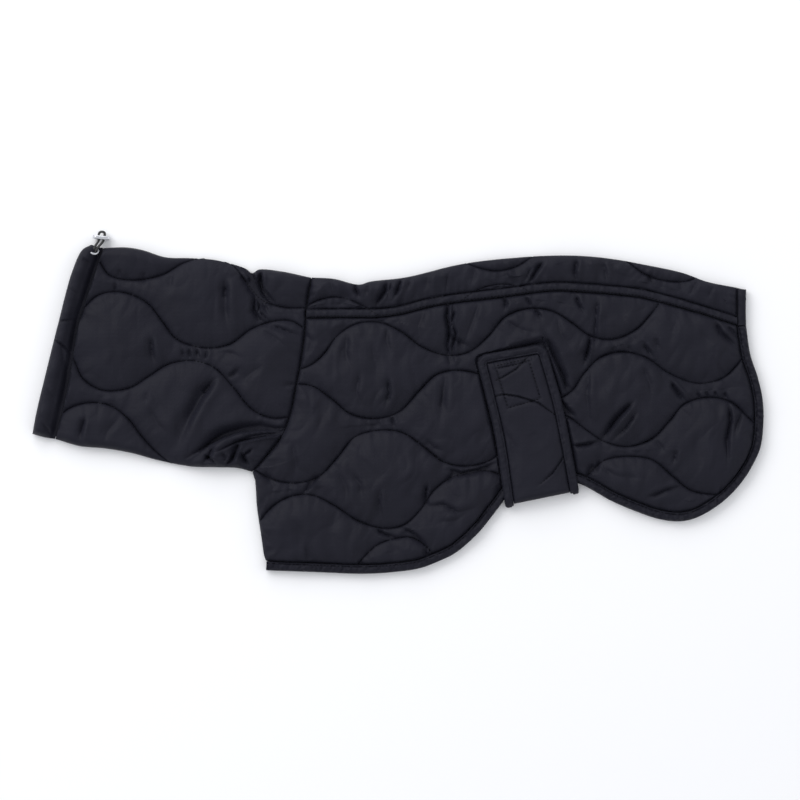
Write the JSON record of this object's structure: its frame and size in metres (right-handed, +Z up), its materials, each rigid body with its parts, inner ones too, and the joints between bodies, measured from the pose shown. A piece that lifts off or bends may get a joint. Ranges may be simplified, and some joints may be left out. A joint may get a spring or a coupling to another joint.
{
  "type": "dog winter coat",
  "caption": "Quilted winter coat for a long-backed dog, laid flat on its side, with a tube collar on a drawcord, a folded spine panel, bound hems and a belly strap.",
  "frame": {"origin": "centre of the coat's bounding box, on the surface that the coat lies on", "axes": "+X towards the tail, +Y towards the spine fold, +Z up from the surface"},
  "size_m": [0.6571, 0.3112, 0.0167],
  "materials": {
    "shell_fabric": "padded woven nylon with a soft sheen",
    "binding_tape": "ribbed woven tape",
    "cord": "braided elastic cord",
    "bright_metal": "polished plating"
  },
  "bodies": {
    "root": {"neck_casing": "shell_fabric", "neck_tube": "shell_fabric", "spine_panel": "shell_fabric", "tail_hem": "binding_tape", "near_side": "shell_fabric", "far_side": "shell_fabric", "near_binding": "binding_tape", "far_binding": "binding_tape", "belly_strap": "shell_fabric", "belly_strap_binding": "binding_tape", "eyelet": "bright_metal", "drawcord": "cord", "cord_stopper": "bright_metal"}
  },
  "joints": []
}
